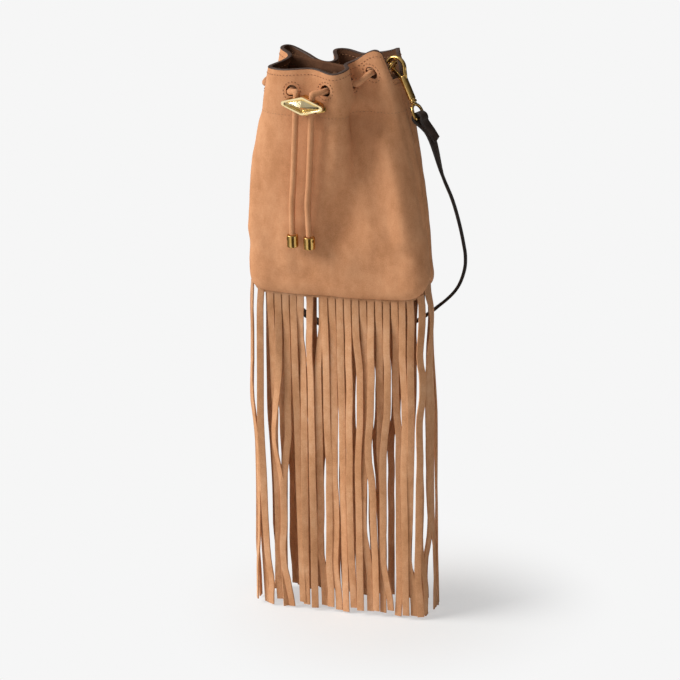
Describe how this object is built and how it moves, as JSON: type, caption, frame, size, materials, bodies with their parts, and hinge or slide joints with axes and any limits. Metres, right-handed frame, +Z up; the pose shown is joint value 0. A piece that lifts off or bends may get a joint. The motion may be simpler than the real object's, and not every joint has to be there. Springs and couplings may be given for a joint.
{
  "type": "fringed drawstring bag",
  "caption": "Soft suede bucket bag gathered at the mouth by a drawstring with a metal slider, with a long cut fringe at the base and a short strap clipped to rings",
  "frame": {"origin": "middle of the gathered mouth at the height of the drawstring holes, where a hand or a hook holds the bag", "axes": "+Z up along the bag, -Y towards its front with the slider, +X towards its right side as seen from the front"},
  "size_m": [0.1862, 0.11, 0.4921],
  "materials": {
    "suede": "matt tan suede",
    "suede_inside": "matt tan suede, flesh side",
    "lining_cloth": "plain woven lining",
    "gold": "brushed gold plate",
    "pale_gold": "polished pale gold plate",
    "strap_leather": "dark smooth leather with painted edges"
  },
  "bodies": {
    "bag": {"base_panel": "suede_inside", "body_front_panel": "suede", "body_back_panel": "suede", "mouth_facing": "suede_inside", "lining": "lining_cloth", "fringe_front": "suede", "fringe_back": "suede", "drawstring": "suede", "cord_end_left": "gold", "cord_end_right": "gold", "strap": "strap_leather", "right_swivel_eye": "gold", "right_d_ring": "gold", "right_d_ring_tab": "suede", "left_swivel_eye": "gold", "left_d_ring": "gold", "left_d_ring_tab": "suede"},
    "slider": {"slider_body": "gold", "slider_face": "pale_gold"},
    "right_hook": {"right_hook_body": "gold", "right_gate_pin": "gold"},
    "right_gate": {"right_hook_gate": "gold"},
    "left_hook": {"left_hook_body": "gold", "left_gate_pin": "gold"},
    "left_gate": {"left_hook_gate": "gold"}
  },
  "joints": [
    {"name": "slider_slide", "type": "slide", "parent": "bag", "child": "slider", "axis": [-0.099, 0.099, -0.9901], "range_m": [0, 0.06]},
    {"name": "right_swivel", "type": "hinge", "parent": "bag", "child": "right_hook", "pos_m": [0.05569, 0.00963, 0.00237], "axis": [-0.4212, 0.1215, 0.8988], "range_deg": [-9, 9]},
    {"name": "right_gate_hinge", "type": "hinge", "parent": "right_hook", "child": "right_gate", "pos_m": [0.05308, 0.01038, 0.00361], "axis": [0.2772, 0.9608, 0], "range_deg": [0, 10], "stiffness_Nm_per_rad": 0.01, "springref_deg": -28.65},
    {"name": "left_swivel", "type": "hinge", "parent": "bag", "child": "left_hook", "pos_m": [-0.06696, 0.04877, -0.02602], "axis": [0.0875, -0.15, 0.9848], "range_deg": [-8, 8]},
    {"name": "left_gate_hinge", "type": "hinge", "parent": "left_hook", "child": "left_gate", "pos_m": [-0.06582, 0.04681, -0.02409], "axis": [-0.8637, -0.5041, 0], "range_deg": [0, 6], "stiffness_Nm_per_rad": 0.01, "springref_deg": -28.65}
  ]
}
